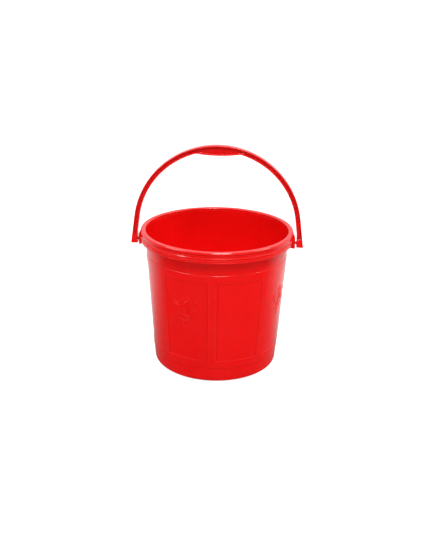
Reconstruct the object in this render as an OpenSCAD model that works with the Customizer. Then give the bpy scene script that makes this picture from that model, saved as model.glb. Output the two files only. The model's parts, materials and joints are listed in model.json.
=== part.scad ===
// Moulded plastic bucket with a swinging bail handle. Millimetres, +Z up.
// The origin is the centre of the base, on the surface the bucket stands on.
// The bucket has an ear at +X and one at -X, and the handle turns about the line through them.

/* [Bucket] */
// Outside diameter of the skirt under the rim
skirt_d = 300; // [280:1:330]
// Height of the rim above the floor
bucket_h = 274; // [220:1:330]
// Outside diameter of the wall, measured where it would meet the floor
base_d = 247; // [220:1:270]
// Thickness of the wall
wall_t = 2; // [1.6:0.1:3]
// Radius of the rounded edge at the bottom of the wall
base_round = 12; // [6:0.5:14]

/* [Rim] */
// Height of the stepped skirt, from its lower edge to the top of the rim
skirt_h = 20.4; // [18:0.1:26]
// Thickness of the skirt
skirt_t = 1.9; // [1.6:0.1:2.6]
// Gap between the wall and the lower edge of the skirt
skirt_gap = 7.9; // [6:0.1:9]

/* [Raised frame] */
// How far the hoops and upright strips stand out from the wall
frame_t = 0.7; // [0.4:0.1:1.2]
// Width of the hoops and of the upright strips
frame_w = 16; // [10:0.5:20]
// Height of the lower edge of the lower hoop
low_hoop_z = 31; // [20:1:50]
// Depth of the lower edge of the upper hoop below the top of the rim
high_hoop_drop = 64; // [42:1:100]
// Number of upright strips
strip_count = 8; // [4:1:12]

/* [Foot] */
// How far the foot ring lies inside the rounded edge of the base
foot_in = 1.5; // [1:0.5:20]
// Width of the foot ring
foot_w = 3.6; // [2.5:0.1:5]
// Height of the underside of the base above the floor
base_lift = 3.4; // [2:0.1:5]
// Thickness of the base
base_t = 2.4; // [2:0.1:3.5]

/* [Ears] */
// Width of an ear, across the bucket
ear_w = 22; // [20:1:34]
// How far an ear stands out past the skirt
ear_out = 3.6; // [3:0.1:5]
// Thickness of the outer wall of an ear
ear_t = 3.6; // [3:0.1:4]
// Depth of the pivot below the top of the rim
pivot_drop = 25.6; // [24:0.1:27]
// Gap between an ear and the end block of the handle
ear_gap = 2.6; // [1.5:0.1:3]

/* [Handle] */
// How much larger the outside radius of the arch is than the radius of the skirt
arch_out = 13.5; // [12:0.5:16]
// Depth of the handle section, measured along the radius
arch_t = 10; // [8:0.5:12]
// Width of the flanges
flange_w = 14; // [12:0.5:16]
// Thickness of the flanges
flange_t = 2.2; // [1.8:0.1:2.8]
// Thickness of the web between the flanges
web_t = 6.5; // [3:0.1:8]
// Length of the hand grip
grip_len = 84; // [76:1:96]
// How far the grip bows down below the arch
grip_bow = 9; // [7:0.5:12]
// Diameter of a pivot stud
stud_d = 6; // [5:0.1:7]
// Radial clearance of a stud in its hole
stud_clear = 0.06; // [0.02:0.01:0.1]

/* [Hidden] */
$fn = 180;

plastic = [0.85, 0.08, 0.07];
eps = 0.01;
overlap = 1;

// Wall: a cone, so that its radius grows evenly with height
skirt_r = skirt_d / 2;
base_r = base_d / 2;
skirt_z = bucket_h - skirt_h;
neck_r = skirt_r - skirt_t - skirt_gap;
draft = (neck_r - base_r) / skirt_z;
draft_angle = atan(draft);
function wall_r(z) = base_r + draft * z;

// Rim heights, from the top down: bead, band, ledge, groove and lower edge
bead_z = bucket_h - 1.9;
lip_under_z = bucket_h - 2.4;
band_z = bucket_h - 5.2;
ledge_z = bucket_h - 9.8;
groove_z = bucket_h - 13.5;
edge_h = 1;
step_h = 0.6;

// Rim radii, and the radius of the lip's inner edge
top_r = skirt_r - 1.8;
bead_r = skirt_r - 0.5;
bead_groove_r = skirt_r - 1;
band_r = skirt_r - 1.7;
lower_r = skirt_r - 0.3;
groove_r = skirt_r - 0.9;
groove_half = 0.3;
skirt_in_r = skirt_r - skirt_t;
band_in_r = band_r - skirt_t;
lip_round = 4;
lip_step = 1;
lip_in_r = wall_r(bucket_h - lip_round) - 1.8;

// Raised frame
high_hoop_z = bucket_h - high_hoop_drop;
hoop_slope = 0.5;

// Base
foot_r = base_r - base_round - foot_in;
foot_slope_w = 0.4;
foot_slope_h = 0.8;
corner_z = foot_slope_h + base_round;
corner_r = wall_r(corner_z) - base_round / cos(draft_angle);
floor_z = base_lift + base_t;
inner_round = 8;
inner_z = floor_z + inner_round;
inner_r = wall_r(inner_z) - wall_t - inner_round / cos(draft_angle);

// Ears and pivots
pivot_z = bucket_h - pivot_drop;
ear_x = skirt_r + ear_out;
ear_bottom = pivot_z - 10.2;
ear_top = bucket_h - 4;
ear_slope_z = pivot_z + 13;
ear_side_t = 2.6;
ear_roof_t = 2.4;
ear_round = 4;
hollow_round = 1;
into_wall = 1.4;
bore_d = stud_d + 2 * stud_clear;

// Handle: an arch about arch_z, with straight legs that splay outwards below it
arch_r = skirt_r + arch_out;
arch_z = bucket_h - 0.5;
splay = 8;
arch_in = arch_r - arch_t;
leg_z = arch_z + arch_r * sin(splay);
leg_in_z = arch_z + arch_in * sin(splay);
leg_bottom = pivot_z - 8.4;
block_top = pivot_z + 8;
block_in_x = ear_x + ear_gap;
block_in_z = leg_in_z - (block_in_x - arch_in * cos(splay)) / tan(splay);
function leg_out_x(z) = arch_r * cos(splay) + (leg_z - z) * tan(splay);
function leg_in_x(z) = arch_in * cos(splay) + (leg_in_z - z) * tan(splay);

// Grip: its lower edge is an arc that meets the inside of the arch at both ends
grip_half = grip_len / 2;
grip_end_z = arch_z + sqrt(arch_in * arch_in - grip_half * grip_half);
grip_low_z = arch_z + arch_in - grip_bow;
grip_sag = grip_end_z - grip_low_z;
grip_r = (grip_half * grip_half + grip_sag * grip_sag) / (2 * grip_sag);
grip_mid_z = grip_low_z + grip_r;

// Stud: shaft through the ear, and a head behind the ear's outer wall
head_gap = 0.4;
head_x = ear_x - ear_t - head_gap;
head_d = stud_d + 2.6;
head_len = 1.2;
lead_len = 1.6;
lead_d = stud_d - 1;
stud_root_x = block_in_x + 2 * overlap;

function arc_points(cx, cz, r, a0, a1, n) =
    [for (i = [0 : n]) [cx + r * cos(a0 + (a1 - a0) * i / n), cz + r * sin(a0 + (a1 - a0) * i / n)]];

// A raised hoop on the wall, as profile points from its lower to its upper edge
function hoop_points(z) = [
    [wall_r(z), z],
    [wall_r(z) + frame_t, z + hoop_slope],
    [wall_r(z + frame_w) + frame_t, z + frame_w - hoop_slope],
    [wall_r(z + frame_w), z + frame_w]];

function outside_points() = concat(
    [[foot_r - foot_w, base_lift], [foot_r - foot_w, 0], [foot_r, 0], [foot_r + foot_slope_w, foot_slope_h]],
    arc_points(corner_r, corner_z, base_round, -90, -draft_angle, 10),
    hoop_points(low_hoop_z),
    hoop_points(high_hoop_z));

// The skirt, from under the lip, down its inside, and up its stepped outside to the top
function skirt_points() = [
    [wall_r(lip_under_z), lip_under_z],
    [band_in_r, lip_under_z],
    [band_in_r, ledge_z - overlap],
    [skirt_in_r, groove_z],
    [skirt_in_r, skirt_z],
    [skirt_r, skirt_z],
    [skirt_r, skirt_z + edge_h],
    [lower_r, skirt_z + edge_h + step_h],
    [lower_r, groove_z - groove_half - step_h],
    [groove_r, groove_z - groove_half],
    [groove_r, groove_z + groove_half],
    [lower_r, groove_z + groove_half + step_h],
    [band_r, ledge_z],
    [band_r, band_z],
    [bead_r, band_z + step_h],
    [bead_r, bead_z - step_h],
    [bead_groove_r, bead_z],
    [bead_r - groove_half, bead_z + step_h / 2],
    [bead_groove_r, bucket_h - step_h],
    [top_r, bucket_h]];

// The lip's rounded inner edge, the inside of the wall, the inner corner and the floor
function inside_points() = concat(
    arc_points(lip_in_r + lip_round, bucket_h - lip_round, lip_round, 90, 180, 8),
    [[wall_r(bucket_h - lip_round - lip_step) - wall_t, bucket_h - lip_round - lip_step]],
    arc_points(inner_r, inner_z, inner_round, -draft_angle, -90, 8),
    [[0, floor_z], [0, base_lift]]);

module shell() {
    rotate_extrude()
        polygon(concat(outside_points(), skirt_points(), inside_points()));
}

// One upright strip, cut from a thin cone that lies on the wall
module strip(angle) {
    z0 = low_hoop_z + frame_w - overlap;
    z1 = high_hoop_z + overlap;
    intersection() {
        rotate_extrude()
            polygon([
                [wall_r(z0) - overlap, z0],
                [wall_r(z0) + frame_t, z0],
                [wall_r(z1) + frame_t, z1],
                [wall_r(z1) - overlap, z1]]);
        rotate([0, 0, angle])
            translate([base_r / 2, -frame_w / 2, 0])
                cube([skirt_r, frame_w, bucket_h]);
    }
}

// Front view of an ear: a plate with rounded lower corners, drawn in width and height
module ear_front(half, low, high, round) {
    translate([-half, low + round])
        square([2 * half, high - low - round]);
    translate([-half + round, low])
        square([2 * (half - round), high - low]);
    for (side = [-1, 1])
        translate([side * (half - round), low + round])
            circle(r = round, $fn = 48);
}

// Side view of an ear: from inside the wall out to its flat face, with a sloping top
module ear_side(inset, x_in, side_low, side_high) {
    polygon([
        [wall_r(side_low) + x_in, side_low],
        [ear_x - inset, side_low],
        [ear_x - inset, ear_slope_z - inset / 2],
        [skirt_r - step_h - inset, side_high],
        [wall_r(side_high) + x_in, side_high]]);
}

module ear_block(inset, x_in, half, low, high, round) {
    intersection() {
        translate([0, half, 0])
            rotate([90, 0, 0])
                linear_extrude(2 * half)
                    ear_side(inset, x_in, low, high);
        rotate([90, 0, 90])
            linear_extrude(2 * skirt_r)
                ear_front(half, low, high, round);
    }
}

module ear_hollow() {
    half = ear_w / 2 - ear_side_t;
    ear_block(ear_t, eps, half, ear_bottom - ear_round, ear_top - ear_roof_t, hollow_round);
}

module ear_solid() {
    ear_block(0, -into_wall, ear_w / 2, ear_bottom, ear_top, ear_round);
}

module ear_bore() {
    translate([ear_x - ear_t - overlap, 0, pivot_z])
        rotate([0, 90, 0])
            cylinder(d = bore_d, h = ear_t + 2 * overlap, $fn = 96);
}

module bucket_body() {
    color(plastic)
        difference() {
            union() {
                shell();
                for (i = [0 : strip_count - 1])
                    strip(i * 360 / strip_count);
                ear_solid();
                mirror([1, 0, 0])
                    ear_solid();
            }
            ear_hollow();
            ear_bore();
            mirror([1, 0, 0]) {
                ear_hollow();
                ear_bore();
            }
        }
}

// A disc that stands upright, with its axis along Y
module disc(r, z, w) {
    translate([0, w / 2, z])
        rotate([90, 0, 0])
            cylinder(r = r, h = w);
}

// The part of the arch between its two legs, with the grip, drawn in by inset on every side
module arch(inset, w) {
    intersection() {
        difference() {
            disc(arch_r - inset, arch_z, w);
            difference() {
                disc(arch_in + inset, arch_z, w + 2);
                disc(grip_r - inset, grip_mid_z, w + 4);
            }
        }
        arch_sector(w);
    }
}

// Everything above the lines where the legs begin
module arch_sector(w) {
    reach = 2 * arch_r;
    translate([0, w / 2, arch_z])
        rotate([90, 0, 0])
            linear_extrude(w)
                polygon([
                    [0, 0],
                    [reach * cos(splay), reach * sin(splay)],
                    [reach, reach],
                    [-reach, reach],
                    [-reach * cos(splay), reach * sin(splay)]]);
}

// One straight leg at +X, drawn in by inset, down to the height given
module leg(inset, w, low) {
    side = inset / cos(splay);
    a = [arch_in * cos(splay), leg_in_z];
    b = [arch_r * cos(splay), leg_z];
    up = 0.5;
    translate([0, w / 2, 0])
        rotate([90, 0, 0])
            linear_extrude(w)
                polygon([
                    [leg_in_x(low) + side, low],
                    [leg_out_x(low) - side, low],
                    [b[0] - inset * cos(splay), b[1] - inset * sin(splay)],
                    [b[0] - inset * cos(splay) - up * sin(splay), b[1] - inset * sin(splay) + up * cos(splay)],
                    [a[0] + inset * cos(splay) - up * sin(splay), a[1] + inset * sin(splay) + up * cos(splay)],
                    [a[0] + inset * cos(splay), a[1] + inset * sin(splay)]]);
}

module legs(inset, w, low) {
    leg(inset, w, low);
    mirror([1, 0, 0])
        leg(inset, w, low);
}

// The end block of a leg: its inner face stands upright, ear_gap away from the ear
module block() {
    translate([0, flange_w / 2, 0])
        rotate([90, 0, 0])
            linear_extrude(flange_w)
                polygon([
                    [block_in_x, leg_bottom],
                    [leg_out_x(leg_bottom) - flange_t, leg_bottom],
                    [leg_out_x(block_in_z) - flange_t, block_in_z],
                    [block_in_x, block_in_z]]);
}

// The recess on both faces of the handle, which leaves the web in the middle
module recess() {
    difference() {
        union() {
            arch(flange_t, flange_w + 2);
            legs(flange_t, flange_w + 2, block_top);
        }
        translate([-skirt_d, -web_t / 2, 0])
            cube([2 * skirt_d, web_t, 3 * bucket_h]);
    }
}

// Stud at +X: shaft, head and a tapered end that leads it into the hole
module stud() {
    translate([head_x - eps, 0, pivot_z])
        rotate([0, 90, 0])
            cylinder(d = stud_d, h = stud_root_x - head_x, $fn = 96);
    translate([head_x, 0, pivot_z])
        rotate([0, -90, 0])
            cylinder(d = head_d, h = head_len, $fn = 96);
    translate([head_x - head_len, 0, pivot_z])
        rotate([0, -90, 0])
            cylinder(d1 = head_d, d2 = lead_d, h = lead_len, $fn = 96);
}

module handle() {
    color(plastic) {
        difference() {
            union() {
                arch(0, flange_w);
                legs(0, flange_w, leg_bottom);
                block();
                mirror([1, 0, 0])
                    block();
            }
            recess();
        }
        stud();
        mirror([1, 0, 0])
            stud();
    }
}

bucket_body();
handle();
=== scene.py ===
"""Moulded plastic bucket with a swinging bail: the visible surfaces, materials, light and camera.

Every piece is a surface worked out with numpy on a grid of two parameters, in metres, in the
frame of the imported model. Lengths that the frame does not give are named here in millimetres
times MM.
"""
import json
import math
import bpy
import numpy as np
from mathutils import Matrix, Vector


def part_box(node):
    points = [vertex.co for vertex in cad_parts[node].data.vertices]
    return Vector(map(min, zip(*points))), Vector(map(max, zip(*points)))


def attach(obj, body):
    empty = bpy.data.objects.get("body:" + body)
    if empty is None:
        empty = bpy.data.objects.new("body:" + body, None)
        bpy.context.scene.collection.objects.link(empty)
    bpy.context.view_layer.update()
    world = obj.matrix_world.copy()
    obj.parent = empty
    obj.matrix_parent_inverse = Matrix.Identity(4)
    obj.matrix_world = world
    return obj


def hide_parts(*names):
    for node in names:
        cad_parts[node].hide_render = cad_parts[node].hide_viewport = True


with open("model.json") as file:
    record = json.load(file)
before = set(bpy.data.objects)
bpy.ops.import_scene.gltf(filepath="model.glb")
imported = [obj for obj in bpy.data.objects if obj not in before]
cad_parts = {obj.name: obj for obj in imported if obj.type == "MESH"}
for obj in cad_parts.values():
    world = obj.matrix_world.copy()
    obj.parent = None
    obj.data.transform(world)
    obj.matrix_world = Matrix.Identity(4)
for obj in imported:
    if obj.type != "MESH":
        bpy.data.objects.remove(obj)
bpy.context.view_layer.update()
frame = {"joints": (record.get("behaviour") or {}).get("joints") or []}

MM = 0.001

# How sharply a surface bends, in 1/m, where it starts to count as an edge and where it fully is one
SOFT_BEND = 300
SHARP_BEND = 1400

# ----------------------------------------
# Sizes: the driving ones come from the frame, the rest are the maker's details
# ----------------------------------------

body_low, body_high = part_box("bucket_body")
bail_low, bail_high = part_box("handle")
swing = frame["joints"][0]

RIM_Z = body_high[2]
SKIRT_R = (body_high[1] - body_low[1]) / 2
EAR_X = body_high[0]
PIVOT_Z = swing["pos_m"][2]
BAIL_TOP = bail_high[2]
FLANGE_W = bail_high[1] - bail_low[1]

# Wall: a cone whose radius grows evenly with height
BASE_R = 123.5 * MM
WALL_T = 2.0 * MM
SKIRT_T = 1.9 * MM
SKIRT_Z = RIM_Z - 20.4 * MM
NECK_R = SKIRT_R - SKIRT_T - 7.9 * MM
DRAFT = (NECK_R - BASE_R) / SKIRT_Z
BASE_ROUND = 12 * MM

# Foot and base
EDGE_LIFT = 0.8 * MM
FOOT_R = 110 * MM
FOOT_W = 3.6 * MM
BASE_LIFT = 3.4 * MM
FLOOR_Z = 5.8 * MM
INNER_ROUND = 8 * MM
GATE_Z = BASE_LIFT - 1.2 * MM

# Raised frame of two hoops and eight upright strips
STRIPS = 8
FRAME_T = 0.7 * MM
FRAME_W = 16 * MM
LOW_HOOP = 31 * MM
HIGH_HOOP = 210 * MM
RAMP = 0.6 * MM
WARP = 0.1 * MM
PANEL_COLUMNS = 27

# Rim, as depths below its top
LIP = 2.4 * MM
NOTCH = 4.6 * MM
BEAD = 1.9 * MM
BAND = 5.2 * MM
LEDGE = 9.8 * MM
GROOVE = 13.5 * MM
BAND_INSET = 1.7 * MM

# Ears
EAR_HALF = 11 * MM
EAR_LOW = PIVOT_Z - 10.2 * MM
EAR_TOP = RIM_Z - 3.6 * MM
EAR_T = 3.6 * MM
EAR_SIDE = 2.6 * MM
EAR_ROUND = 4 * MM
EAR_SLOPE = 0.55
BORE_R = 3.06 * MM
NOTCH_HALF = 9.6 * MM

# Bail
SPLAY = math.radians(8)
ARCH_Z = RIM_Z - 0.5 * MM
ARCH_R = BAIL_TOP - ARCH_Z
ARCH_T = 10 * MM
FLANGE_T = 2.2 * MM
WEB_T = 6.5 * MM
GRIP_HALF = 42 * MM
GRIP_BOW = 9 * MM
BAIL_LOW = bail_low[2]
BLOCK_TOP = PIVOT_Z + 8 * MM
BLOCK_IN = EAR_X + 2.6 * MM
END_ROUND = 0.9 * MM
FLANGE_ROUND = 0.8 * MM
FLANGE_LIP = 0.5 * MM
POCKET_ROUND = 0.9 * MM
STUD_R = 3 * MM
HEAD_R = 4.3 * MM
HEAD_GAP = 0.4 * MM


def wall_r(z):
    """Outer radius of the wall: the base radius plus the draft times the height."""
    return BASE_R + DRAFT * z


# ----------------------------------------
# Grid tools
# ----------------------------------------

def smooth(x):
    """Smooth step: 3x^2 - 2x^3 of x held between 0 and 1."""
    x = np.clip(x, 0.0, 1.0)
    return x * x * (3 - 2 * x)


def rounded_path(corners, gap=8 * MM, stray=0.018 * MM):
    """A polyline whose corners are circular arcs.

    Each corner is (a, b, radius). Its arc is a quadratic Bezier with the corner as middle
    point and the cosine of half the turn as middle weight, which is an exact circle. It is cut
    so that a chord spans at most 2 acos(1 - stray / radius), and straight stretches are cut
    into equal steps no longer than gap. An arc takes at most 0.48 of the legs beside it.
    """
    given = np.array([c[:2] for c in corners], float)
    radii = np.array([c[2] for c in corners], float)
    points = [given[:1]]
    for i in range(1, len(given) - 1):
        before = given[i] - given[i - 1]
        after = given[i + 1] - given[i]
        length_a, length_b = np.linalg.norm(before), np.linalg.norm(after)
        before, after = before / length_a, after / length_b
        turn = math.acos(float(np.clip(before @ after, -1, 1)))
        cut = min(radii[i] * math.tan(turn / 2), 0.48 * length_a, 0.48 * length_b)
        weight = math.cos(turn / 2)
        span = 2 * math.acos(max(0.0, 1 - stray / max(radii[i], stray)))
        s = np.linspace(0, 1, math.ceil(turn / span) + 1)[:, None]
        b0, b1, b2 = (1 - s) ** 2, 2 * weight * s * (1 - s), s ** 2
        arc = b0 * (given[i] - cut * before) + b1 * given[i] + b2 * (given[i] + cut * after)
        points.append(arc / (b0 + b1 + b2))
    points.append(given[-1:])
    path = np.concatenate(points)
    legs = np.linalg.norm(np.diff(path, axis=0), axis=1)
    cuts = np.maximum(1, np.ceil(legs / gap)).astype(int)
    start = np.repeat(np.arange(len(legs)), cuts)
    share = np.concatenate([np.arange(n) / n for n in cuts])[:, None]
    fine = path[start] * (1 - share) + path[start + 1] * share
    return np.concatenate([fine, path[-1:]])


def ring_faces(rows, cols, wrap_rows=False):
    """Quads between neighbouring rings of a grid whose columns close on themselves."""
    last = rows if wrap_rows else rows - 1
    i, j = np.meshgrid(np.arange(last), np.arange(cols), indexing="ij")
    up, right = (i + 1) % rows, (j + 1) % cols
    quad = np.stack([i * cols + j, i * cols + right, up * cols + right, up * cols + j], -1)
    return quad.reshape(-1, 4)


def fans(rows, cols):
    """Triangles that close a grid of rings at a pole before its first and after its last ring."""
    j = np.arange(cols)
    right = (j + 1) % cols
    first, last = rows * cols, rows * cols + 1
    low = np.stack([np.full(cols, first), right, j], -1)
    top = (rows - 1) * cols
    high = np.stack([np.full(cols, last), top + j, top + right], -1)
    return np.concatenate([low, high])


def signed_volume(points, quads, triangles):
    """Volume inside the surface, positive when its faces point outwards."""
    tri = np.concatenate([quads[:, [0, 1, 2]], quads[:, [0, 2, 3]], triangles])
    a, b, c = points[tri[:, 0]], points[tri[:, 1]], points[tri[:, 2]]
    return float(np.einsum("ij,ij->i", a, np.cross(b, c)).sum() / 6)


def mark_bends(mesh):
    """Stores how sharply the surface bends: edge where it is convex, crease where concave.

    Along each mesh edge the bend is (n2 - n1).(p2 - p1) / |p2 - p1|^2, in 1/m. A vertex takes
    the most convex and the most concave of its edges, each mapped to 0..1 by a smooth step.
    """
    count = len(mesh.vertices)
    points, normals = np.zeros(count * 3), np.zeros(count * 3)
    ends = np.zeros(len(mesh.edges) * 2, int)
    mesh.vertices.foreach_get("co", points)
    mesh.vertex_normals.foreach_get("vector", normals)
    mesh.edges.foreach_get("vertices", ends)
    points, normals, ends = points.reshape(-1, 3), normals.reshape(-1, 3), ends.reshape(-1, 2)
    step = points[ends[:, 1]] - points[ends[:, 0]]
    turn = normals[ends[:, 1]] - normals[ends[:, 0]]
    bend = (turn * step).sum(axis=1) / np.maximum((step ** 2).sum(axis=1), 1e-12)
    convex, concave = np.zeros(count), np.zeros(count)
    for side in (0, 1):
        np.maximum.at(convex, ends[:, side], bend)
        np.maximum.at(concave, ends[:, side], -bend)
    for label, amount in (("edge", convex), ("crease", concave)):
        attribute = mesh.attributes.new(label, "FLOAT", "POINT")
        attribute.data.foreach_set("value", smooth((amount - SOFT_BEND) / (SHARP_BEND - SOFT_BEND)))


def area_normals(mesh):
    """Normal of each vertex as the area-weighted mean of its faces, so that flats shade flat.

    Each face adds its normal times its area, and the sum is brought to length 1. A vertex
    whose faces have all shrunk to nothing keeps a zero normal.
    """
    count = len(mesh.polygons)
    areas, flat = np.zeros(count), np.zeros(count * 3)
    mesh.polygons.foreach_get("area", areas)
    mesh.polygons.foreach_get("normal", flat)
    sizes = np.zeros(count, int)
    mesh.polygons.foreach_get("loop_total", sizes)
    corners = np.zeros(len(mesh.loops), int)
    mesh.loops.foreach_get("vertex_index", corners)
    total = np.zeros((len(mesh.vertices), 3))
    np.add.at(total, corners, np.repeat(flat.reshape(-1, 3) * areas[:, None], sizes, axis=0))
    return total / np.maximum(np.linalg.norm(total, axis=1), 1e-12)[:, None]


def add_object(name, data):
    """A new object with this data, linked into the scene."""
    thing = bpy.data.objects.new(name, data)
    bpy.context.scene.collection.objects.link(thing)
    return thing


def build(name, points, quads, triangles, body, slot, material):
    """Makes a closed piece from arrays, turns its faces outwards, and rides it on its body."""
    if signed_volume(points, quads, triangles) < 0:
        quads, triangles = quads[:, ::-1], triangles[:, ::-1]
    mesh = bpy.data.meshes.new(name)
    mesh.from_pydata(points.tolist(), [], quads.tolist() + triangles.tolist())
    mesh.polygons.foreach_set("use_smooth", np.ones(len(mesh.polygons), bool))
    mesh.materials.append(material)
    mesh.update()
    mark_bends(mesh)
    mesh.normals_split_custom_set_from_vertices(area_normals(mesh))
    piece = add_object(name, mesh)
    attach(piece, body)
    return piece


NO_TRIANGLES = np.zeros((0, 3), int)


def closed_rings(grid, poles=None):
    """Points, quads and triangles of a grid of rings (rows, columns, 3) closed at two poles,
    which lie in the middle of the first and the last ring unless they are given."""
    rows, cols = grid.shape[:2]
    if poles is None:
        poles = grid[[0, -1]].mean(axis=1)
    points = np.concatenate([grid.reshape(-1, 3), poles])
    return points, ring_faces(rows, cols), fans(rows, cols)


# ----------------------------------------
# Bucket wall, base, foot, rim and skirt in one surface
# ----------------------------------------

def underside_path():
    """Half section of the underside: gate mark, base, foot ring and rounded edge, outwards."""
    top = EDGE_LIFT + BASE_ROUND + 1.5 * MM
    return rounded_path([
        (2.0 * MM, GATE_Z, 0),
        (2.6 * MM, GATE_Z + 0.2 * MM, 0.3 * MM),
        (3.2 * MM, BASE_LIFT + 0.1 * MM, 0.3 * MM),
        (9.0 * MM, BASE_LIFT + 0.1 * MM, 0.4 * MM),
        (9.8 * MM, BASE_LIFT - 0.4 * MM, 0.4 * MM),
        (11.0 * MM, BASE_LIFT, 0.5 * MM),
        (FOOT_R - FOOT_W - 0.5 * MM, BASE_LIFT, 1.2 * MM),
        (FOOT_R - FOOT_W, 0, 0.6 * MM),
        (FOOT_R, 0, 0.6 * MM),
        (FOOT_R + 0.3 * MM, EDGE_LIFT, 0.4 * MM),
        (wall_r(EDGE_LIFT), EDGE_LIFT, BASE_ROUND),
        (wall_r(top), top, 0)], gap=9 * MM)


def wall_rows():
    """Heights of the grid rows on the wall: even steps, and close ones across each hoop edge."""
    start = EDGE_LIFT + BASE_ROUND + 2.5 * MM
    even = np.arange(start, RIM_Z - 8 * MM, 4.6 * MM)
    edges = np.array([LOW_HOOP, LOW_HOOP + FRAME_W, HIGH_HOOP, HIGH_HOOP + FRAME_W])
    near = np.array([-1.6, -1, -0.6, -0.25, 0, 0.25, 0.6, 1, 1.6]) * RAMP
    fine = (edges[:, None] + near[None, :]).ravel()
    clear = np.abs(even[:, None] - edges[None, :]).min(axis=1) > 2.6 * RAMP
    return np.sort(np.concatenate([even[clear], fine]))


def rim_path():
    """Half section of the rim: under the lip, down inside the skirt, up its steps, over the top."""
    inner = SKIRT_R - SKIRT_T
    groove_z = RIM_Z - GROOVE
    band_z = RIM_Z - BAND
    bead_z = RIM_Z - BEAD
    return rounded_path([
        (wall_r(RIM_Z - 6.4 * MM), RIM_Z - 6.4 * MM, 0),
        (wall_r(RIM_Z - LIP), RIM_Z - LIP, 2.0 * MM),
        (inner - BAND_INSET, RIM_Z - LIP, 1.2 * MM),
        (inner - BAND_INSET, groove_z - 1.5 * MM, 1.5 * MM),
        (inner, groove_z - 4 * MM, 1.5 * MM),
        (inner, SKIRT_Z, 0.5 * MM),
        (SKIRT_R, SKIRT_Z, 0.6 * MM),
        (SKIRT_R, SKIRT_Z + 1.3 * MM, 0.15 * MM),
        (SKIRT_R - 0.35 * MM, SKIRT_Z + 1.45 * MM, 0.15 * MM),
        (SKIRT_R - 0.3 * MM, groove_z - 0.8 * MM, 0.4 * MM),
        (SKIRT_R - 1.6 * MM, groove_z - 0.3 * MM, 0.25 * MM),
        (SKIRT_R - 1.6 * MM, groove_z + 0.3 * MM, 0.25 * MM),
        (SKIRT_R - 0.3 * MM, groove_z + 0.5 * MM, 0.3 * MM),
        (SKIRT_R - 0.1 * MM, RIM_Z - LEDGE - 2.4 * MM, 0.7 * MM),
        (SKIRT_R - 1.6 * MM, RIM_Z - LEDGE - 0.2 * MM, 0.7 * MM),
        (SKIRT_R - BAND_INSET, band_z - 0.5 * MM, 0.3 * MM),
        (SKIRT_R - 2.4 * MM, band_z, 0.2 * MM),
        (SKIRT_R - 0.9 * MM, band_z + 0.5 * MM, 0.35 * MM),
        (SKIRT_R - 0.5 * MM, bead_z - 1.4 * MM, 0.9 * MM),
        (SKIRT_R - 0.7 * MM, bead_z - 0.35 * MM, 0.3 * MM),
        (SKIRT_R - 1.3 * MM, bead_z, 0.2 * MM),
        (SKIRT_R - 0.8 * MM, bead_z + 0.35 * MM, 0.3 * MM),
        (SKIRT_R - 0.8 * MM, RIM_Z - 1.2 * MM, 0.5 * MM),
        (SKIRT_R - 1.8 * MM, RIM_Z, 0.9 * MM),
        (wall_r(RIM_Z) - 1.9 * MM, RIM_Z, 3.9 * MM),
        (wall_r(RIM_Z - 4 * MM) - 1.8 * MM, RIM_Z - 5 * MM, 1.0 * MM),
        (wall_r(RIM_Z - 6 * MM) - WALL_T, RIM_Z - 6 * MM, 1.0 * MM),
        (wall_r(RIM_Z - 9 * MM) - WALL_T, RIM_Z - 9 * MM, 0)], gap=3 * MM)


def inside_path():
    """Half section of the inside: down the smooth wall, round the corner and across the floor."""
    top = RIM_Z - 16 * MM
    floor_r = wall_r(FLOOR_Z) - WALL_T
    return rounded_path([
        (wall_r(top) - WALL_T, top, 0),
        (floor_r, FLOOR_Z, INNER_ROUND),
        (60 * MM, FLOOR_Z, 1 * MM),
        (4 * MM, FLOOR_Z, 0)], gap=9 * MM)


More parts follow.
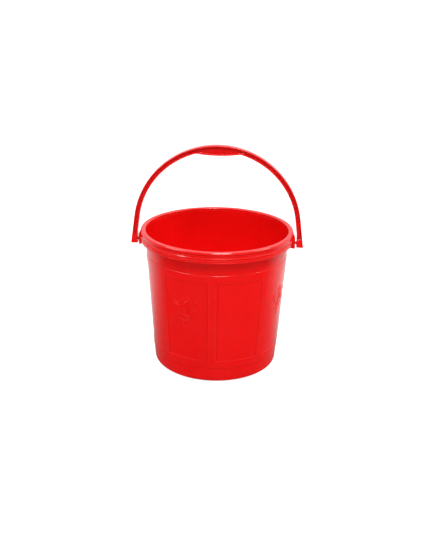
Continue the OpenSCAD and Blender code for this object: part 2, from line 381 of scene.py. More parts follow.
def body_surface():
    """The body as rings: its half section turned about Z, with the raised frame laid on.

    Columns sit at set distances from the middle of each strip, so that the strips keep their
    width down the taper, and evenly between them. Radius is the section's radius plus the
    frame's height, where hoops and strips join as 1 - (1 - hoop)(1 - strip), plus a slow warp
    WARP sin(3 angle + 9 z / RIM_Z) sin(pi z / RIM_Z). At the two ears the skirt is drawn up to
    the lip to leave a notch behind the ear.
    """
    under, rows_z, rim, inside = underside_path(), wall_rows(), rim_path(), inside_path()
    wall = np.stack([wall_r(rows_z), rows_z], -1)
    section = np.concatenate([under, wall, rim, inside])
    on_wall = np.zeros(len(section), bool)
    on_wall[len(under):len(under) + len(wall)] = True
    r, z = section[:, 0], section[:, 1]
    in_rim = np.zeros(len(section), bool)
    in_rim[len(under) + len(wall):len(under) + len(wall) + len(rim)] = True
    in_skirt = in_rim & (r > SKIRT_R - SKIRT_T - 2.2 * MM) & (z < RIM_Z - NOTCH)

    half = FRAME_W / 2
    edge = half + np.array([-1, -0.5, 0, 0.5, 1]) * RAMP
    across = np.concatenate([-edge[::-1], [-0.45 * half, 0, 0.45 * half], edge])
    widened = np.where(np.abs(across) > half - 1.5 * RAMP,
                       across + np.sign(across) * (NOTCH_HALF - half),
                       across * (NOTCH_HALF - RAMP) / half)
    strip_height = smooth((half + RAMP - np.abs(across)) / (2 * RAMP))
    in_notch = np.abs(across) < half - 0.25 * RAMP

    reach = np.maximum(r, 100 * MM)[:, None]
    panel = np.linspace(0, 1, PANEL_COLUMNS + 2)[None, 1:-1]
    pitch = 2 * math.pi / STRIPS
    angle_parts, height_parts, notch_parts = [], [], []
    for k in range(STRIPS):
        at_ear = k in (0, STRIPS // 2)
        next_ear = (k + 1) % STRIPS in (0, STRIPS // 2)
        offset = np.where((in_skirt & at_ear)[:, None], widened[None], across[None])
        following = np.where(in_skirt & next_ear, widened[0], across[0])
        strip_angle = k * pitch + np.arcsin(offset / reach)
        end = (k + 1) * pitch + np.arcsin(following[:, None] / reach)
        between = strip_angle[:, -1:] * (1 - panel) + end * panel
        angle_parts += [strip_angle, between]
        height_parts += [strip_height, np.zeros(panel.size)]
        notch_parts += [in_notch & at_ear, np.zeros(panel.size, bool)]
    angle = np.concatenate(angle_parts, axis=1)
    strip = np.concatenate(height_parts)[None, :]
    notch = np.concatenate(notch_parts)[None, :]

    def above(level):
        """0 under this height and 1 over it, with a slope of RAMP to each side."""
        return smooth((z - level + RAMP) / (2 * RAMP))

    hoop = above(LOW_HOOP) - above(LOW_HOOP + FRAME_W) + above(HIGH_HOOP) - above(HIGH_HOOP + FRAME_W)
    zone = (z > LOW_HOOP + FRAME_W / 2) & (z < HIGH_HOOP + FRAME_W / 2)
    raised = 1 - (1 - hoop[:, None]) * (1 - strip * zone[:, None])
    wave = np.sin(3 * angle + 9 * z[:, None] / RIM_Z) * np.sin(math.pi * z[:, None] / RIM_Z)
    radius = r[:, None] + on_wall[:, None] * (FRAME_T * raised + WARP * wave)
    height = np.broadcast_to(z[:, None], radius.shape).copy()
    squeeze = 0.03
    lifted = RIM_Z - NOTCH + squeeze * (height - RIM_Z)
    height = np.where(in_skirt[:, None] & notch, lifted, height)
    grid = np.stack([radius * np.cos(angle), radius * np.sin(angle), height], -1)
    return closed_rings(grid, [(0, 0, GATE_Z), (0, 0, FLOOR_Z)])


# ----------------------------------------
# Ears
# ----------------------------------------

def ear_face_x(y, z):
    """Outer face of an ear: flat at EAR_X, and above it a slope that runs in to the lip.

    The two meet in a smooth minimum: m = (a + b - root((a - b)^2 + k^2)) / 2.
    """
    slope = np.sqrt((SKIRT_R - 0.9 * MM) ** 2 - y ** 2) + (EAR_TOP - z) * EAR_SLOPE
    blend = 1.2 * MM
    return (EAR_X + slope - np.sqrt((EAR_X - slope) ** 2 + blend ** 2)) / 2


def ear_outline(inset, count):
    """Rounded plate outline in (y, z), drawn in by inset, as count points evenly spaced."""
    half, low, high = EAR_HALF - inset, EAR_LOW + inset, EAR_TOP - inset
    low_round, top_round = max(EAR_ROUND - inset, 0.6 * MM), 0.8 * MM
    path = rounded_path([
        (0, high, 0), (half, high, top_round), (half, low, low_round),
        (-half, low, low_round), (-half, high, top_round), (0, high, 0)])
    run = np.concatenate([[0], np.cumsum(np.linalg.norm(np.diff(path, axis=0), axis=1))])
    at = np.linspace(0, run[-1], count, endpoint=False)
    return np.stack([np.interp(at, run, path[:, 0]), np.interp(at, run, path[:, 1])], -1)


def ear_surface(side):
    """An ear as a closed band: out from the bore over the face, round the edge, back along the
    side walls to the bucket's wall, and inside the hollow to the bore again.

    Ring k is the outline moved towards the bore circle by a share, at a depth behind the face.
    The lower edge has no side wall, so the hollow is open underneath. It is thin there, and
    the side walls end sunk in the bucket's wall.
    """
    count = 160
    outer = ear_outline(0, count)
    centre = np.array([0, PIVOT_Z])
    walled = smooth((outer[:, 1] - EAR_LOW - 0.6 * MM) / (3.0 * MM))
    soft = 1.0 * MM
    thin = sunk = 0.9 * MM
    thick = EAR_SIDE * walled + thin * (1 - walled)
    spoke = outer - centre
    length = np.linalg.norm(spoke, axis=1, keepdims=True)
    circle = centre + BORE_R * spoke / length
    away = np.stack([np.clip(spoke[:, 0], -1 * MM, 1 * MM), np.zeros(count)], -1) / MM
    below = (outer[:, 1] < EAR_LOW + EAR_ROUND)[:, None]
    away = np.where(below, spoke / length, away)
    away[:, 1] = np.where(outer[:, 1] > EAR_TOP - 0.9 * MM, 1.0, away[:, 1])
    face = ear_face_x(outer[:, 0], outer[:, 1])
    wall_back = np.sqrt((wall_r(outer[:, 1]) - sunk) ** 2 - outer[:, 0] ** 2)
    back = walled * wall_back + (1 - walled) * (face - EAR_T)

    rings = []

    def ring(plane, x):
        """Adds a ring: its (y, z) points, each at its own x."""
        rings.append(np.column_stack([x, plane[:, 0], plane[:, 1]]))

    def face_at(plane):
        return ear_face_x(plane[:, 0], plane[:, 1])

    flare = 0.35 * MM
    flared = centre + (BORE_R + flare) * spoke / length
    ring(circle, face_at(circle) - flare)
    ring(flared, face_at(flared))
    rim_in = outer - soft * away
    for share in (0.06, 0.2, 0.4, 0.6, 0.8, 0.95):
        plane = flared * (1 - share) + rim_in * share
        ring(plane, face_at(plane))
    for turn in np.linspace(0, math.pi / 2, 7):
        plane = rim_in + soft * math.sin(turn) * away
        ring(plane, face_at(rim_in) - soft * (1 - math.cos(turn)))
    side_start = face_at(rim_in) - soft
    for share in (0.2, 0.5, 0.8, 1.0):
        ring(outer, side_start * (1 - share) + back * share)
    inner = outer - thick[:, None] * away
    ring(outer - 0.3 * MM * away, back - 0.2 * MM)
    ring(inner + 0.3 * MM * away, back - 0.2 * MM)
    inner_face = face_at(inner) - EAR_T
    for share in (0.0, 0.3, 0.6, 0.85):
        ring(inner, back * (1 - share) + (inner_face + 0.1 * MM * (1 - walled)) * share)
    near = inner - 0.5 * MM * away
    ring(near, face_at(near) - EAR_T)
    for share in (0.25, 0.5, 0.75, 0.95, 1.0):
        plane = near * (1 - share) + circle * share
        ring(plane, face_at(plane) - EAR_T)
    grid = np.array(rings)
    grid[..., 0] *= side
    return grid.reshape(-1, 3), ring_faces(*grid.shape[:2], wrap_rows=True), NO_TRIANGLES


# ----------------------------------------
# Flower sprays embossed on every second panel
# ----------------------------------------

def stroke(path, width, height, around=15):
    """A raised stroke: a half-round section swept along a path in the panel's plane.

    path is (n, 2), width and height are (n,). The section is an arch of width times
    cos(t) across and height times sin(t)^0.8 out, closed by a flat back inside the wall.
    Returns rings of (across, up, out).
    """
    back_points, sink, back_sink = 5, 0.12 * MM, 0.25 * MM
    run = np.gradient(path, axis=0)
    run /= np.maximum(np.linalg.norm(run, axis=1, keepdims=True), 1e-9)
    side = np.stack([-run[:, 1], run[:, 0]], -1)
    t = np.linspace(0, math.pi, around)
    across = np.concatenate([np.cos(t), np.linspace(-0.85, 0.85, back_points)])
    out = np.concatenate([np.sin(t) ** 0.8, np.zeros(back_points)])
    at_back = np.concatenate([np.zeros(around), np.ones(back_points)])
    plane = path[:, None, :] + side[:, None, :] * (width[:, None] * across[None, :])[..., None]
    lift = height[:, None] * out[None, :] - (back_sink * at_back + sink)[None, :]
    return np.concatenate([plane, lift[..., None]], -1)


def leaf(root, angle, length, width, height, bend=0.25, steps=18):
    """A pointed leaf: its midrib is a shallow arc, its width grows as sin(pi u) to the 0.8."""
    u = np.linspace(0, 1, steps)
    turn = angle + bend * (u - 0.5)
    step = np.stack([np.cos(turn), np.sin(turn)], -1) * length / (steps - 1)
    path = np.array(root) + np.concatenate([[[0, 0]], np.cumsum(step[:-1], axis=0)])
    swell = np.maximum(np.sin(math.pi * np.clip(u, 0.01, 0.99)) ** 0.8, 0.06)
    return stroke(path, width / 2 * swell, height * np.sqrt(swell))


def petal(root, angle, length, width, height, steps=16):
    """A round-ended petal: narrow at the root, widest at two thirds of its length."""
    u = np.linspace(0, 1, steps)
    path = np.array(root) + u[:, None] * length * np.array([math.cos(angle), math.sin(angle)])
    swell = np.sqrt(np.clip(u * (1.02 - u ** 2.6), 0.004, None)) * 1.35
    return stroke(path, width / 2 * swell, height * np.minimum(swell, 1))


def stem(points, width, height, steps=26):
    """A stem along a cubic Bezier through four control points, tapering to its tip."""
    u = np.linspace(0, 1, steps)[:, None]
    p = np.array(points, float)
    path = ((1 - u) ** 3 * p[0] + 3 * u * (1 - u) ** 2 * p[1]
            + 3 * u ** 2 * (1 - u) * p[2] + u ** 3 * p[3])
    taper = width / 2 * (1 - 0.45 * u[:, 0])
    ends = np.sqrt(np.clip(np.sin(math.pi * np.clip(u[:, 0], 0.02, 0.98)) * 6, 0.1, 1))
    return stroke(path, taper * ends, height * ends)


def blossom(centre, radius, turn, petals, height):
    """Petals evenly round a domed middle, which is a very short, wide petal pair."""
    parts = []
    for k in range(petals):
        angle = turn + 2 * math.pi * k / petals
        root = np.array(centre) + 0.2 * radius * np.array([math.cos(angle), math.sin(angle)])
        parts.append(petal(root, angle, 0.82 * radius, 0.86 * radius, height))
    boss = 0.25 * radius
    u = np.linspace(-1, 1, 15)
    path = np.array(centre) + np.stack([u * boss, np.zeros(15)], -1)
    round_off = np.sqrt(np.clip(1 - u ** 2, 0.01, 1))
    parts.append(stroke(path, boss * round_off, 1.35 * height * round_off))
    return parts


def spray_parts():
    """One spray in the panel's plane: three blossoms on a branching stem, with leaves and buds.

    All lengths and places are in millimetres here: stems are widths with control points,
    blossoms are centres, radii and turns, leaves and buds are roots, angles, lengths and widths.
    """
    high = 1.0 * MM
    stems = [
        (2.0, ((-4, -31), (-9, -12), (3, 0), (4, 13))),
        (1.6, ((-5, -14), (-9, -4), (-15, -2), (-16, 7))),
        (1.6, ((-3, -10), (5, -8), (13, -10), (16, -3))),
        (1.2, ((3, 6), (8, 10), (14, 10), (18, 17)))]
    blossoms = [((4, 20), 10, 0.3), ((-17, 12), 8, 0.9), ((17, 1), 7.5, 0.1)]
    leaves = [
        ((-4.5, -22), 2.6, 15, 6.0), ((-4.5, -24), 0.5, 15, 6.0), ((-8, -8), 3.4, 11, 4.6),
        ((6, -9.5), -0.9, 12, 5.0), ((-1, -3), 1.9, 10, 4.4), ((9, 9), -0.1, 9, 4.0)]
    buds = [((18, 17), 1.1, 6, 3.6), ((-12, -1), 2.1, 5, 3.0), ((11, -9), -0.2, 5, 3.0)]
    parts = []
    for width, points in stems:
        parts.append(stem(np.array(points) * MM, width * MM, high))
    for centre, radius, turn in blossoms:
        parts += blossom(np.array(centre) * MM, radius * MM, turn, 5, high)
    for root, angle, length, width in leaves:
        parts.append(leaf(np.array(root) * MM, angle, length * MM, width * MM, 0.85 * high))
    for root, angle, length, width in buds:
        parts.append(petal(np.array(root) * MM, angle, length * MM, width * MM, high))
    return parts


def spray_surface(panel_angle):
    """The spray wrapped on the wall: across is arc length, up is height, out is along the radius."""
    middle_z = 148 * MM
    points, quads, triangles = [], [], []
    start = 0
    for grid in spray_parts():
        z = middle_z + grid[..., 1]
        angle = panel_angle + grid[..., 0] / wall_r(middle_z)
        radius = wall_r(z) + grid[..., 2]
        wrapped = np.stack([radius * np.cos(angle), radius * np.sin(angle), z], -1)
        part_points, part_quads, part_triangles = closed_rings(wrapped)
        if signed_volume(part_points - part_points[0], part_quads, part_triangles) < 0:
            part_quads, part_triangles = part_quads[:, ::-1], part_triangles[:, ::-1]
        points.append(part_points)
        quads.append(part_quads + start)
        triangles.append(part_triangles + start)
        start += len(part_points)
    return np.concatenate(points), np.concatenate(quads), np.concatenate(triangles)


# ----------------------------------------
# Bail: arch, legs, end blocks and grip in one swept surface
# ----------------------------------------

def smaller(a, b, blend):
    """Smooth minimum of a and b: (a + b - root((a - b)^2 + blend^2)) / 2."""
    return (a + b - np.sqrt((a - b) ** 2 + blend ** 2)) / 2


def bail_stations():
    """Outer and inner points of the bail's section, from the grip's middle down the +X leg.

    On the arch the outer point is at ARCH_R about its centre and the inner point on the same
    ray, at the smaller of the arch's inner radius and the ray's distance to the grip's lower
    arc. On the leg both run straight along the splay, and the section turns from square
    to level, so that the end is cut level. Beside the ear the inner point keeps to BLOCK_IN.
    The last value is the web's half thickness.
    """
    inner_r = ARCH_R - ARCH_T
    low_z = ARCH_Z + inner_r - GRIP_BOW
    end_z = ARCH_Z + math.sqrt(inner_r ** 2 - GRIP_HALF ** 2)
    sag = end_z - low_z
    grip_r = (GRIP_HALF ** 2 + sag ** 2) / (2 * sag)
    grip_mid = low_z + grip_r - ARCH_Z

    cusp = math.asin(GRIP_HALF / inner_r)
    full = math.pi / 2 - SPLAY
    angles = np.unique(np.concatenate([
        np.linspace(0, cusp - 0.03, 22),
        np.linspace(cusp - 0.03, cusp + 0.03, 17),
        np.linspace(cusp + 0.03, full, 56)]))
    root = grip_r ** 2 - (grip_mid * np.sin(angles)) ** 2
    to_grip = grip_mid * np.cos(angles) - np.sqrt(np.maximum(root, 0))
    to_grip = np.where(angles > cusp + 0.2, inner_r * 2, to_grip)
    inner = smaller(np.full_like(angles, inner_r), to_grip, 0.5 * MM)
    ray = np.stack([np.sin(angles), np.cos(angles)], -1)
    middle = np.array([0, ARCH_Z])
    out_arch = middle + ARCH_R * ray
    in_arch = middle + inner[:, None] * ray

    leg_out, leg_in = out_arch[-1], in_arch[-1]
    z = np.unique(np.concatenate([
        np.linspace(leg_out[1] - 1 * MM, BLOCK_TOP + 2 * MM, 16),
        np.linspace(BLOCK_TOP + 2 * MM, BLOCK_TOP - 0.6 * MM, 14),
        np.linspace(BLOCK_TOP - 0.6 * MM, BAIL_LOW + END_ROUND, 6)]))[::-1]
    level = smooth((leg_out[1] - z) / (leg_out[1] - BLOCK_TOP))
    out_leg = np.stack([leg_out[0] + (leg_out[1] - z) * math.tan(SPLAY), z], -1)
    in_z = z - (1 - level) * (leg_out[1] - leg_in[1])
    splayed = leg_in[0] + (leg_in[1] - in_z) * math.tan(SPLAY)
    in_leg = np.stack([smaller(splayed, np.full_like(z, BLOCK_IN), 0.4 * MM), in_z], -1)

    outer = np.concatenate([out_arch, out_leg])
    inner = np.concatenate([in_arch, in_leg])
    fill = smooth((BLOCK_TOP + 1.4 * MM - outer[:, 1]) / (1.8 * MM))
    web = WEB_T / 2 + (FLANGE_W / 2 - WEB_T / 2) * fill
    return outer, inner, web


def section_half(depth, web, shrink):
    """Half of the I-shaped section, as (depth, width) from the outer to the inner middle.

    Its six corners are arcs; the pocket's ones fade out as the web fills the section. A fine
    ridge where the two halves of the mould met runs along the middle of each flange.
    """
    half = FLANGE_W / 2 - shrink
    web = np.minimum(web, half)
    open_part = (half - web) / (FLANGE_W / 2 - WEB_T / 2)
    ridge, ridge_half = 0.06 * MM, 0.22 * MM
    t = np.linspace(0, math.pi / 2, 6)
    rows = []

    def add(q, y):
        """Adds a point at depth q and half width y to every section."""
        rows.append(np.stack(np.broadcast_arrays(q, y), -1))

    def corner(q, y, radius, q_dir, y_dir, first):
        """Arc at corner (q, y), bulging towards it; first says which side it starts on."""
        for angle in t:
            c, s = 1 - math.cos(angle), 1 - math.sin(angle)
            along, across = (s, c) if first == "q" else (c, s)
            add(q - q_dir * radius * along, y - y_dir * radius * across)

    zero = np.zeros_like(depth)
    top, low = shrink + zero, depth - shrink
    add(top - ridge, zero)
    add(top, zero + ridge_half)
    add(top, zero + 0.45 * half)
    corner(top, half + zero, FLANGE_ROUND + zero, -1, 1, "y")
    corner(FLANGE_T + zero, half + zero, FLANGE_LIP * open_part, 1, 1, "q")
    corner(FLANGE_T + zero, web, POCKET_ROUND * open_part, -1, -1, "y")
    corner(depth - FLANGE_T, web, POCKET_ROUND * open_part, 1, -1, "q")
    corner(depth - FLANGE_T, half + zero, FLANGE_LIP * open_part, -1, 1, "y")
    corner(low, half + zero, FLANGE_ROUND + zero, 1, 1, "q")
    add(low, zero + 0.45 * half)
    add(low, zero + ridge_half)
    add(low + ridge, zero)
    return np.stack(rows, axis=1)


def bail_surface():
    """The bail's section swept from one end to the other, its ends rounded over and closed."""
    outer, inner, web = bail_stations()
    turn = np.linspace(0, math.pi / 2, 6)
    end_z = BAIL_LOW + END_ROUND * (1 - np.sin(turn))
    last_out, last_in = outer[-1], inner[-1]
    lean = math.tan(SPLAY)
    end_out = np.stack([last_out[0] + (last_out[1] - end_z) * lean, end_z], -1)
    end_in = np.stack([np.full_like(end_z, last_in[0]), end_z], -1)
    outer = np.concatenate([outer, end_out[1:]])
    inner = np.concatenate([inner, end_in[1:]])
    web = np.concatenate([web, np.full(len(turn) - 1, FLANGE_W / 2)])
    straight = np.zeros(len(outer) - len(turn) + 1)
    shrink = np.concatenate([straight, END_ROUND * (1 - np.cos(turn[1:]))])

    depth = np.linalg.norm(inner - outer, axis=1)
    inward = (inner - outer) / depth[:, None]
    half = section_half(depth, web, shrink)
    mirrored = half[:, -2:0:-1] * np.array([1, -1])
    ring = np.concatenate([half, mirrored], axis=1)
    x = outer[:, None, 0] + ring[..., 0] * inward[:, None, 0]
    z = outer[:, None, 1] + ring[..., 0] * inward[:, None, 1]
    right = np.stack([x, ring[..., 1], z], -1)
    left = right[:0:-1] * np.array([-1, 1, 1])
    grid = np.concatenate([left, right])
    return closed_rings(grid)


def stud_surface(side):
    """A pivot stud: its half section turned about the pivot axis, from its root in the end
    block to the tapered end of the head that holds it behind the ear's outer wall."""
    face = BLOCK_IN
    head = EAR_X - EAR_T - HEAD_GAP
    section = rounded_path([
        (face + 2.0 * MM, 0.4 * MM, 0),
        (face + 2.0 * MM, STUD_R + 0.9 * MM, 0.3 * MM),
        (face + 0.1 * MM, STUD_R + 0.9 * MM, 0.2 * MM),
        (face - 0.1 * MM, STUD_R, 0.8 * MM),
        (head, STUD_R, 0.3 * MM),
        (head, HEAD_R, 0.35 * MM),
        (head - 1.2 * MM, HEAD_R, 0.6 * MM),
        (head - 2.8 * MM, STUD_R - 0.5 * MM, 0.6 * MM),
        (head - 2.8 * MM, 0.4 * MM, 0)], gap=1 * MM)
    turn = np.linspace(0, 2 * math.pi, 64, endpoint=False)
    x, r = section[:, 0:1], section[:, 1:2]
    grid = np.stack(np.broadcast_arrays(side * x, r * np.cos(turn), PIVOT_Z + r * np.sin(turn)), -1)
    return closed_rings(grid)


# ----------------------------------------
# Materials
# ----------------------------------------

def make_group(name, inputs, outputs):
    """An empty shader group with float or vector inputs (name, kind, default) and outputs."""
    tree = bpy.data.node_groups.new(name, "ShaderNodeTree")
    for label, kind, default in inputs:
        socket = tree.interface.new_socket(label, in_out="INPUT", socket_type=kind)
        if default is not None:
            socket.default_value = default
    for label, kind in outputs:
        tree.interface.new_socket(label, in_out="OUTPUT", socket_type=kind)
    return tree, tree.nodes.new("NodeGroupInput"), tree.nodes.new("NodeGroupOutput")


def math_node(tree, operation, a, b=None, clamp=False):
    """One Math node; a and b are sockets or numbers. Returns its output socket."""
    node = tree.nodes.new("ShaderNodeMath")
    node.operation = operation
    node.use_clamp = clamp
    for socket, value in zip(node.inputs, (a, b)):
        if isinstance(value, bpy.types.NodeSocket):
            tree.links.new(value, socket)
        elif value is not None:
            socket.default_value = value
    return node.outputs[0]


def noise(tree, vector, scale, detail=2.0, roughness=0.5, stretch=None):
    """A noise texture's value on a vector, which may be stretched along each axis first."""
    if stretch is not None:
        mapping = tree.nodes.new("ShaderNodeMapping")
        mapping.inputs["Scale"].default_value = stretch[0]
        mapping.inputs["Rotation"].default_value = stretch[1]
        tree.links.new(vector, mapping.inputs["Vector"])
        vector = mapping.outputs[0]
    node = tree.nodes.new("ShaderNodeTexNoise")
    node.inputs["Detail"].default_value = detail
    node.inputs["Roughness"].default_value = roughness
    if isinstance(scale, bpy.types.NodeSocket):
        tree.links.new(scale, node.inputs["Scale"])
    else:
        node.inputs["Scale"].default_value = scale
    tree.links.new(vector, node.inputs["Vector"])
    return node.outputs[0]


def ramp(tree, value, low, high, low_value=0.0, high_value=1.0):
    """Value mapped from low..high to low_value..high_value with a smooth step."""
    node = tree.nodes.new("ShaderNodeMapRange")
    node.interpolation_type = "SMOOTHSTEP"
    limits = {"From Min": low, "From Max": high, "To Min": low_value, "To Max": high_value}
    for label, number in limits.items():
        node.inputs[label].default_value = number
    tree.links.new(value, node.inputs["Value"])
    return node.outputs[0]


def moulded_skin_group():
    """Height, in metres, of a moulded gloss skin: fine grain over slow sink ripples."""
    tree, given, result = make_group("moulded_skin", [
        ("Vector", "NodeSocketVector", None),
        ("Grain Scale", "NodeSocketFloat", 1500.0),
        ("Grain Height", "NodeSocketFloat", 1.5e-6),
        ("Ripple Scale", "NodeSocketFloat", 45.0),
        ("Ripple Height", "NodeSocketFloat", 3e-5)], [("Height", "NodeSocketFloat")])
    vector = given.outputs["Vector"]
    grain = noise(tree, vector, given.outputs["Grain Scale"], detail=3)
    ripple = noise(tree, vector, given.outputs["Ripple Scale"], detail=1,
                   stretch=((1, 1, 0.45), (0, 0, 0)))
    total = math_node(tree, "ADD",
                      math_node(tree, "MULTIPLY", grain, given.outputs["Grain Height"]),
                      math_node(tree, "MULTIPLY", ripple, given.outputs["Ripple Height"]))
    tree.links.new(total, result.inputs["Height"])
    return tree


def pigment_drift_group():
    """A mask from 0 to 1 of how the colour drifts: broad flow streaks and small swirls."""
    tree, given, result = make_group("pigment_drift", [
        ("Vector", "NodeSocketVector", None),
        ("Flow Scale", "NodeSocketFloat", 9.0),
        ("Swirl Scale", "NodeSocketFloat", 90.0)], [("Mask", "NodeSocketFloat")])
    vector = given.outputs["Vector"]
    flow = noise(tree, vector, given.outputs["Flow Scale"], detail=3, stretch=((1, 1, 0.35), (0, 0, 0)))
    swirl = noise(tree, vector, given.outputs["Swirl Scale"], detail=4, roughness=0.6)
    mixed = math_node(tree, "ADD", math_node(tree, "MULTIPLY", flow, 0.75),
                      math_node(tree, "MULTIPLY", swirl, 0.25))
    tree.links.new(ramp(tree, mixed, 0.34, 0.66), result.inputs["Mask"])
    return tree


def hairline_group():
    """A mask of hairline scuffs: long thin crests of two stretched noises, in broken patches."""
    tree, given, result = make_group("hairline_scuffs", [
        ("Vector", "NodeSocketVector", None),
        ("Scale", "NodeSocketFloat", 70.0),
        ("Patch Scale", "NodeSocketFloat", 14.0)], [("Mask", "NodeSocketFloat")])
    vector = given.outputs["Vector"]
    lines = []
    for rotation in ((0.3, 0.9, 0.5), (1.1, -0.4, 2.0)):
        crest = noise(tree, vector, given.outputs["Scale"], detail=1, stretch=((0.12, 6.0, 1.0), rotation))
        off_crest = math_node(tree, "ABSOLUTE", math_node(tree, "SUBTRACT", crest, 0.5))
        lines.append(ramp(tree, off_crest, 0.0, 0.012, 1.0, 0.0))
    patch = noise(tree, vector, given.outputs["Patch Scale"], detail=2)
    both = math_node(tree, "MAXIMUM", lines[0], lines[1])
    mask = math_node(tree, "MULTIPLY", both, ramp(tree, patch, 0.52, 0.7), clamp=True)
    tree.links.new(mask, result.inputs["Mask"])
    return tree


def edge_wear_and_highlight_group():
    """A mask of edges painted pale, partly as wear from hands and floors and partly as painted highlight
    lines along relief edges: the edge value broken up by noise.
    """
    tree, given, result = make_group("rubbed_edges", [
        ("Vector", "NodeSocketVector", None),
        ("Edge", "NodeSocketFloat", 0.0),
        ("Break Scale", "NodeSocketFloat", 160.0),
        ("Amount", "NodeSocketFloat", 1.0)], [("Mask", "NodeSocketFloat")])
    patches = noise(tree, given.outputs["Vector"], given.outputs["Break Scale"], detail=3)
    broken = ramp(tree, patches, 0.3, 0.6)
    mask = math_node(tree, "MULTIPLY", math_node(tree, "MULTIPLY", given.outputs["Edge"], broken),
                     given.outputs["Amount"], clamp=True)
    tree.links.new(mask, result.inputs["Mask"])
    return tree


GROUPS = {
    "skin": moulded_skin_group(),
    "drift": pigment_drift_group(),
    "hairlines": hairline_group(),
    "edges": edge_wear_and_highlight_group()}


def mix_colour(tree, factor, a, b):
    """Mix of two colours, each a socket or an RGB triple, by a factor socket."""
    node = tree.nodes.new("ShaderNodeMix")
    node.data_type = "RGBA"
    tree.links.new(factor, node.inputs["Factor"])
    for socket, value in ((node.inputs[6], a), (node.inputs[7], b)):
        if isinstance(value, bpy.types.NodeSocket):
            tree.links.new(value, socket)
        else:
            socket.default_value = (*value, 1)
    return node.outputs[2]


# How strongly a full crease is painted darker as shade, and to what share of the deep colour
CREASE_SHADE_AMOUNT = 0.35
CREASE_SHADE = 0.35
# What smears and rubbing add to the roughness, and how deep the hairlines cut
SMEAR = 0.04
RUBBED_DULL = 0.25
SCUFF_DEPTH = 0.003 * MM


def gloss_red(name, deep, light, pale_wear_and_highlight, gloss, edge_wear_and_highlight_amount, scuff_amount, ripple):
    """Glossy moulded red: colour drifts from deep to light, creases are painted a darker red as shade,
    edges are painted pale and duller, partly as wear and partly as painted highlight, hairlines are
    scuffed pale and duller, and the skin's grain and ripples bend reflections."""
    material = bpy.data.materials.new(name)
    material.use_nodes = True
    tree = material.node_tree
    shader = tree.nodes["Principled BSDF"]
    place = tree.nodes.new("ShaderNodeTexCoord").outputs["Object"]

    def stored(label):
        """The value that mark_bends left on the mesh under this label."""
        node = tree.nodes.new("ShaderNodeAttribute")
        node.attribute_name = label
        return node.outputs["Fac"]

    def use(key, **settings):
        """One of the shared groups, fed with the piece's own coordinates."""
        node = tree.nodes.new("ShaderNodeGroup")
        node.node_tree = GROUPS[key]
        tree.links.new(place, node.inputs["Vector"])
        for label, value in settings.items():
            node.inputs[label.replace("_", " ")].default_value = value
        return node

    drift = use("drift").outputs[0]
    hairlines = use("hairlines").outputs[0]
    edge_wear_and_highlight_mask = use("edges", Amount=edge_wear_and_highlight_amount)
    tree.links.new(stored("edge"), edge_wear_and_highlight_mask.inputs["Edge"])
    skin = use("skin", Ripple_Height=ripple).outputs[0]
    scuffed = math_node(tree, "MULTIPLY", hairlines, scuff_amount)
    wear_and_highlight = math_node(tree, "MAXIMUM", edge_wear_and_highlight_mask.outputs[0], scuffed)
    # Painted shade: concave creases are darkened towards a deeper red
    painted_crease_shade = math_node(tree, "MULTIPLY", stored("crease"), CREASE_SHADE_AMOUNT)
    crease_shade_colour = tuple(CREASE_SHADE * channel for channel in deep)
    shaded = mix_colour(tree, painted_crease_shade, mix_colour(tree, drift, deep, light), crease_shade_colour)
    # Pale edges are partly wear and partly painted highlight lines; the hairline scuffs are wear
    tree.links.new(mix_colour(tree, wear_and_highlight, shaded, pale_wear_and_highlight), shader.inputs["Base Color"])
    smear = ramp(tree, noise(tree, place, 26.0, detail=3), 0.35, 0.7, gloss, gloss + SMEAR)
    dull = math_node(tree, "ADD", smear, math_node(tree, "MULTIPLY", wear_and_highlight, RUBBED_DULL), clamp=True)
    tree.links.new(dull, shader.inputs["Roughness"])
    bump = tree.nodes.new("ShaderNodeBump")
    bump.inputs["Strength"].default_value = 1.0
    bump.inputs["Distance"].default_value = 1.0
    cut = math_node(tree, "MULTIPLY", hairlines, -SCUFF_DEPTH)
    tree.links.new(math_node(tree, "ADD", skin, cut), bump.inputs["Height"])
    tree.links.new(bump.outputs["Normal"], shader.inputs["Normal"])
    shader.inputs["IOR"].default_value = 1.49
    shader.inputs["Specular IOR Level"].default_value = 0.5
    return material


BODY_RED = gloss_red(
    "body_gloss_red", deep=(0.80, 0.0043, 0.0042), light=(0.87, 0.0058, 0.0054),
    pale_wear_and_highlight=(0.88, 0.07, 0.055), gloss=0.09, edge_wear_and_highlight_amount=0.12, scuff_amount=0.1, ripple=0.025 * MM)
BAIL_RED = gloss_red(
    "bail_gloss_red", deep=(0.80, 0.0043, 0.0046), light=(0.87, 0.0058, 0.0058),
    pale_wear_and_highlight=(0.88, 0.08, 0.065), gloss=0.11, edge_wear_and_highlight_amount=0.2, scuff_amount=0.15, ripple=0.01 * MM)


# ----------------------------------------
# Pieces
# ----------------------------------------

def make_bucket():
    """The body, its two ears and four flower sprays, which stand for the CAD body."""
    finish = ("bucket", "body_plastic", BODY_RED)
    made = [build("bucket_wall_and_rim", *body_surface(), *finish)]
    for label, side in (("right", 1), ("left", -1)):
        made.append(build(f"ear_{label}", *ear_surface(side), *finish))
    for k in range(STRIPS // 2):
        angle = 2 * math.pi / STRIPS * (2 * k + 1.5)
        made.append(build(f"flower_spray_{k + 1}", *spray_surface(angle), *finish))
    for piece in made:
        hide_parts("bucket_body")


def make_bail():
    """The bail and its two studs, which stand for the CAD handle."""
    finish = ("bail", "handle_plastic", BAIL_RED)
    made = [build("bail_arch_and_grip", *bail_surface(), *finish)]
    for label, side in (("right", 1), ("left", -1)):
        made.append(build(f"pivot_stud_{label}", *stud_surface(side), *finish))
    for piece in made:
        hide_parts("handle")


make_bucket()
make_bail()


# ----------------------------------------
# Floor, light and camera
# ----------------------------------------

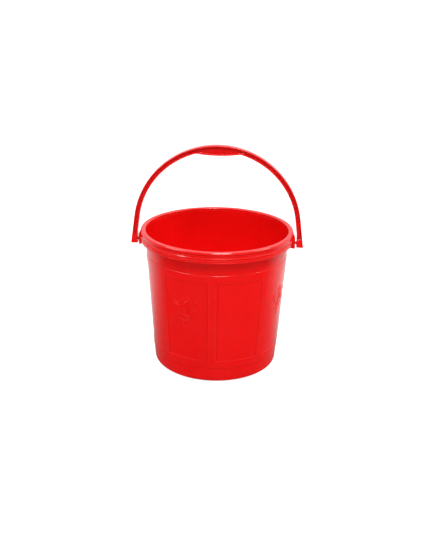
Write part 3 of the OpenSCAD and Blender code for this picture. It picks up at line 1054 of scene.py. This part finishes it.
def axis_y(tree, space):
    """The Y value of one of the texture coordinates."""
    split = tree.nodes.new("ShaderNodeSeparateXYZ")
    tree.links.new(tree.nodes.new("ShaderNodeTexCoord").outputs[space], split.inputs[0])
    return split.outputs["Y"]


def share_by_ray(tree, picked_rays, picked, others, end):
    """Shows the shader picked to one kind of ray and the shader others to all the rest."""
    chosen = tree.nodes.new("ShaderNodeMixShader")
    tree.links.new(picked_rays, chosen.inputs["Fac"])
    tree.links.new(others.outputs[0], chosen.inputs[1])
    tree.links.new(picked.outputs[0], chosen.inputs[2])
    tree.links.new(chosen.outputs[0], tree.nodes[end].inputs["Surface"])


def aligned(right, up, back, place):
    """The matrix of an object at place whose X, Y and Z run along right, up and back."""
    turn = Matrix([[*row] for row in np.stack([right, up, back], -1)]).to_4x4()
    return Matrix.Translation(place) @ turn


def make_floor():
    """A plain pale floor that runs far past the view. What the gloss mirrors of it falls off
    towards the front, as on a white sweep lit from behind, and the camera sees it a little
    brighter than it lights the bucket."""
    half, albedo, camera_lift = 45.0, 0.75, 0.7
    corners = [(-half, -half, 0), (half, -half, 0), (half, half, 0), (-half, half, 0)]
    mesh = bpy.data.meshes.new("studio_floor")
    mesh.from_pydata(corners, [], [(0, 1, 2, 3)])
    floor = add_object("studio_floor", mesh)
    material = bpy.data.materials.new("pale_floor")
    material.use_nodes = True
    tree = material.node_tree
    shader = tree.nodes["Principled BSDF"]
    shader.inputs["Base Color"].default_value = (albedo, albedo, albedo, 1)
    shader.inputs["Roughness"].default_value = 0.9
    shader.inputs["Specular IOR Level"].default_value = 0.0
    shader.inputs["Emission Color"].default_value = (1, 1, 1, 1)
    rays = tree.nodes.new("ShaderNodeLightPath")
    lift = math_node(tree, "MULTIPLY", rays.outputs["Is Camera Ray"], camera_lift)
    tree.links.new(lift, shader.inputs["Emission Strength"])
    mirrored = tree.nodes.new("ShaderNodeEmission")
    falloff = ramp(tree, axis_y(tree, "Object"), -0.15, 0.3, 0.05, 0.9)
    tree.links.new(falloff, mirrored.inputs["Strength"])
    share_by_ray(tree, rays.outputs["Is Glossy Ray"], mirrored, shader, "Material Output")
    mesh.materials.append(material)


def softbox(name, azimuth, elevation, distance, width, height, radiance):
    """A rectangular soft light that faces the rim, placed by its azimuth from the front (-Y),
    positive to the right, and its elevation. Its power is radiance times area times pi."""
    light = bpy.data.lights.new(name, "AREA")
    light.shape = "RECTANGLE"
    light.size, light.size_y = width, height
    light.energy = math.pi * width * height * radiance
    lamp = add_object(name, light)
    lamp.visible_camera = False
    turn, lift = math.radians(azimuth), math.radians(elevation)
    level = math.cos(lift)
    back = np.array([math.sin(turn) * level, -math.cos(turn) * level, math.sin(lift)])
    right = np.cross((0, 0, 1), back)
    right /= np.linalg.norm(right)
    up = np.cross(back, right)
    place = np.array([0, 0, RIM_Z]) + distance * back
    lamp.matrix_world = aligned(right, up, back, place)


def make_light():
    """White surroundings that are brighter behind the object than in front of it, with four
    softboxes: one above, one over the camera and one at each side. The camera sees plain white."""
    world = bpy.data.worlds.new("studio_white")
    world.use_nodes = True
    tree = world.node_tree
    lit = tree.nodes["Background"]
    lit.inputs["Color"].default_value = (1, 1, 1, 1)
    falloff = ramp(tree, axis_y(tree, "Generated"), -0.9, 0.9, 0.2, 0.85)
    tree.links.new(falloff, lit.inputs["Strength"])
    seen = tree.nodes.new("ShaderNodeBackground")
    seen.inputs["Color"].default_value = (1, 1, 1, 1)
    rays = tree.nodes.new("ShaderNodeLightPath")
    share_by_ray(tree, rays.outputs["Is Camera Ray"], seen, lit, "World Output")
    bpy.context.scene.world = world
    # Azimuth and elevation in degrees, distance, width and height in metres, radiance
    softbox("top_softbox", 0, 82, 2.4, 1.7, 1.5, 1.6)
    softbox("over_softbox", 13, 54, 2.4, 0.8, 0.6, 24)
    softbox("left_softbox", -68, 42, 2.2, 1.2, 0.5, 7)
    softbox("right_softbox", 93, 42, 2.2, 1.3, 0.5, 7)


def make_camera():
    """The camera: 1.38 m from the bucket's axis and 0.71 m up, a little to the right, rolled
    by a degree, with a 49.5 mm lens."""
    azimuth, pitch, yaw, roll = (math.radians(a) for a in (2.70, 20.85, -0.09, 0.98))
    distance, height = 1.382, 0.715
    camera_data = bpy.data.cameras.new("studio_camera")
    camera_data.sensor_width = 36
    camera_data.lens = 49.5
    camera_data.clip_start = 0.05
    camera = add_object("studio_camera", camera_data)
    heading = azimuth + yaw
    reach = math.cos(pitch)
    ahead = np.array([-math.sin(heading) * reach, math.cos(heading) * reach, -math.sin(pitch)])
    level = np.array([math.cos(heading), math.sin(heading), 0])
    above = np.cross(level, ahead)
    right = math.cos(roll) * level + math.sin(roll) * above
    up = math.cos(roll) * above - math.sin(roll) * level
    place = (distance * math.sin(azimuth), -distance * math.cos(azimuth), height)
    camera.matrix_world = aligned(right, up, -ahead, place)
    bpy.context.scene.camera = camera


make_floor()
make_light()
make_camera()
bpy.context.scene.view_settings.view_transform = "Standard"
